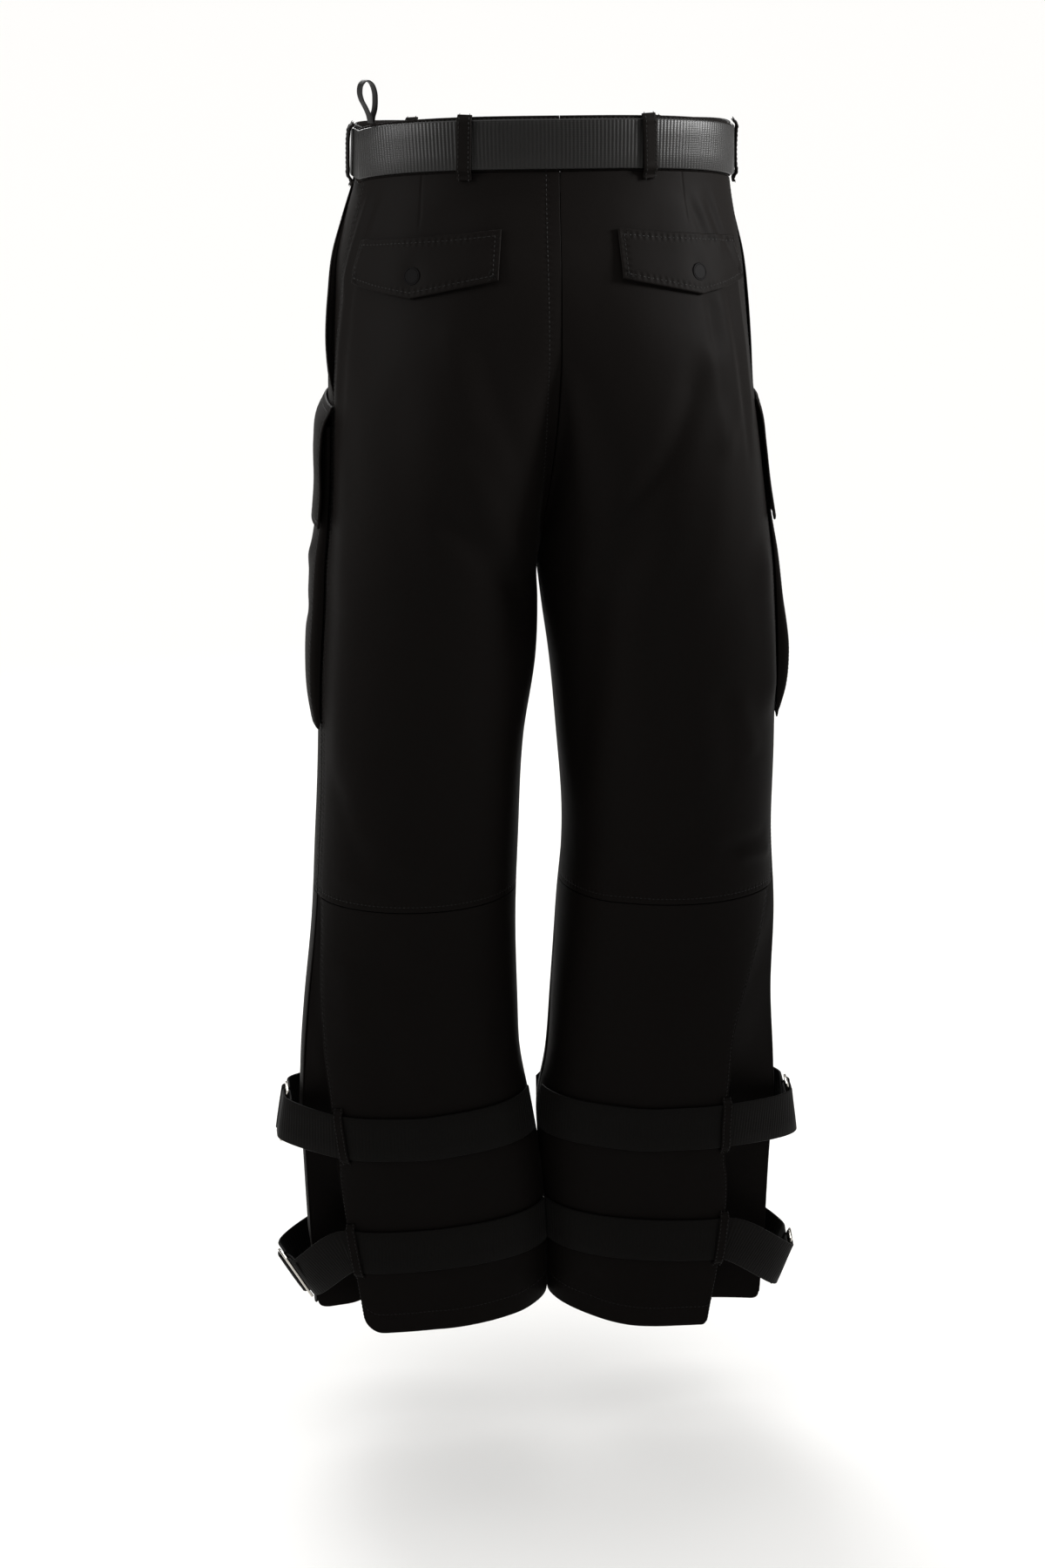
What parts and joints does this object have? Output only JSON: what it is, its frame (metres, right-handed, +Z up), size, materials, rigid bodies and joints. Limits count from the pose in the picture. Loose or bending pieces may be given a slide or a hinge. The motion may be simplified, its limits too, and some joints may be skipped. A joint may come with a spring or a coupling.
{
  "type": "cargo trousers, worn",
  "caption": "Black wide cargo trousers as worn, hollow, with a webbing belt, flapped bellows pockets at the sides and webbing straps with metal slides round the lower legs.",
  "frame": {"origin": "middle of the waist opening, at the height of the waistband's top at the sides", "axes": "+Z up out of the waist, -Y to the front, +X to the wearer's left"},
  "size_m": [0.4858, 0.273, 1.1426],
  "materials": {
    "cotton_satin": "satin",
    "webbing": "matte",
    "ribbon": "satin",
    "zip_tape": "matte",
    "nickel": "polished",
    "black_metal": "gloss"
  },
  "bodies": {
    "root": {"back_panel_left": "cotton_satin", "front_panel_left": "cotton_satin", "hip_facing_left": "cotton_satin", "lower_back_left": "cotton_satin", "lower_front_left": "cotton_satin", "side_gore_left": "cotton_satin", "waistband_left": "cotton_satin", "belt_loop_back_left": "cotton_satin", "belt_loop_side_left": "cotton_satin", "belt_loop_front_left": "cotton_satin", "back_flap_left": "cotton_satin", "cargo_pouch_left": "cotton_satin", "cargo_flap_left": "cotton_satin", "keeper_upper_left": "cotton_satin", "keeper_lower_left": "cotton_satin", "back_panel_right": "cotton_satin", "front_panel_right": "cotton_satin", "hip_facing_right": "cotton_satin", "lower_back_right": "cotton_satin", "lower_front_right": "cotton_satin", "side_gore_right": "cotton_satin", "waistband_right": "cotton_satin", "belt_loop_back_right": "cotton_satin", "belt_loop_side_right": "cotton_satin", "belt_loop_front_right": "cotton_satin", "back_flap_right": "cotton_satin", "cargo_pouch_right": "cotton_satin", "cargo_flap_right": "cotton_satin", "keeper_upper_right": "cotton_satin", "keeper_lower_right": "cotton_satin", "fly_placket": "cotton_satin", "belt": "webbing", "belt_tip": "webbing", "strap_back_upper_left": "webbing", "strap_back_upper_right": "webbing", "strap_back_lower_left": "webbing", "strap_back_lower_right": "webbing", "strap_front_upper_left": "webbing", "strap_front_upper_right": "webbing", "strap_front_lower_left": "webbing", "strap_front_lower_right": "webbing", "hang_loop": "ribbon", "fly_zip": "zip_tape", "belt_slide": "nickel", "slide_upper_left": "nickel", "slide_upper_right": "nickel", "slide_lower_left": "nickel", "slide_lower_right": "nickel", "back_snap_left": "black_metal", "back_snap_right": "black_metal", "cargo_snap_left": "black_metal", "cargo_snap_right": "black_metal"}
  },
  "joints": []
}
